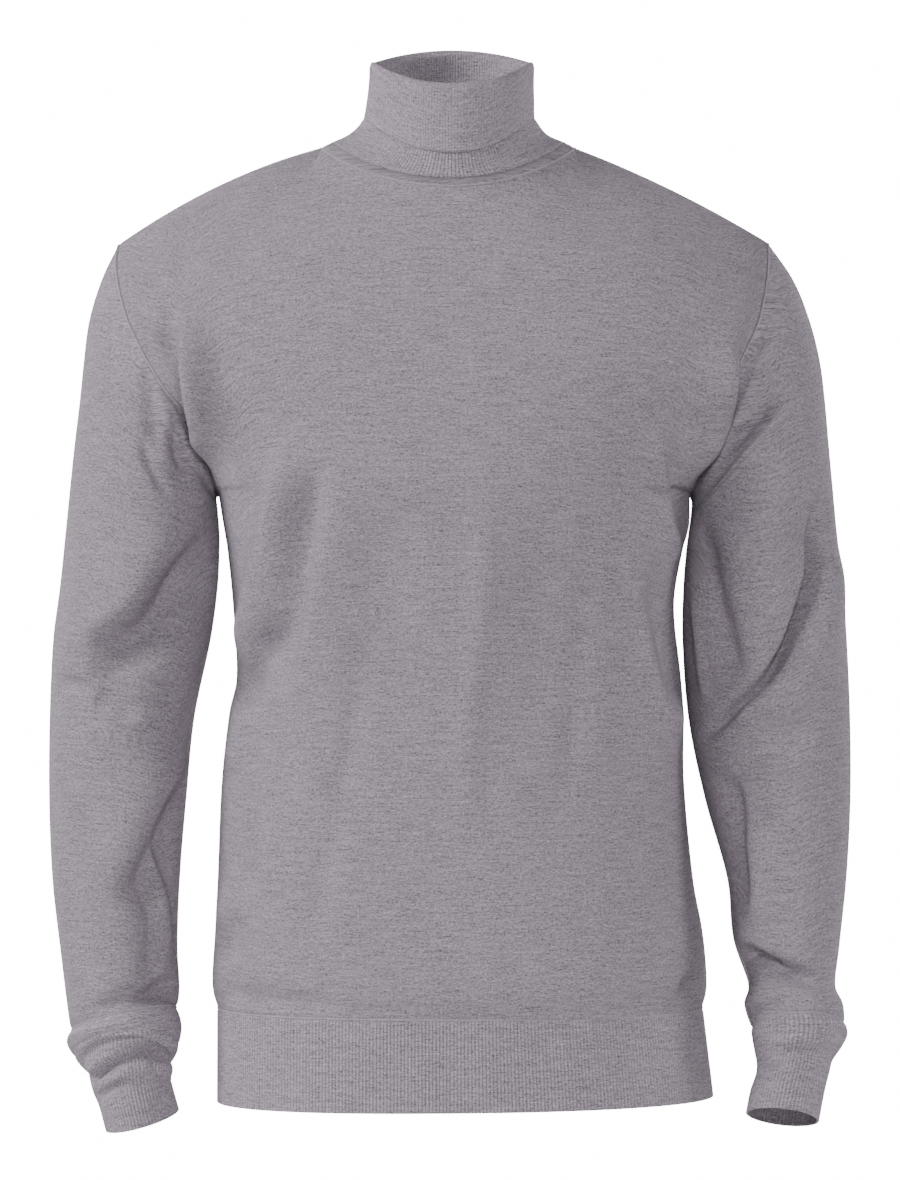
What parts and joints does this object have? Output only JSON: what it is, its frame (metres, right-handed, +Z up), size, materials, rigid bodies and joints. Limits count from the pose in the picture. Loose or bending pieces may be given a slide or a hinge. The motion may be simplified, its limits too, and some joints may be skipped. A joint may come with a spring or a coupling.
{
  "type": "turtleneck sweater",
  "caption": "Fine-knit turtleneck sweater in its worn shape with nobody inside: turned-down ribbed collar, long set-in sleeves, ribbed cuffs and hem band, open and hollow throughout.",
  "frame": {"origin": "at the base of the neck, level with the inner ends of the shoulder seams and midway between them, where a wearer's shoulders or a hanger hold the garment up", "axes": "+Z up, out of the collar; the front faces -Y; +X is the wearer's left"},
  "size_m": [0.5776, 0.2386, 0.7815],
  "materials": {
    "jersey": "heather grey fine jersey knit, matt",
    "rib": "heather grey one-by-one rib knit, matt"
  },
  "bodies": {
    "root": {"front": "jersey", "back": "jersey", "sleeve_right": "jersey", "sleeve_left": "jersey", "hem_front": "rib", "hem_back": "rib", "cuff_right": "rib", "cuff_left": "rib", "neck_band": "jersey", "collar": "rib"}
  },
  "joints": []
}
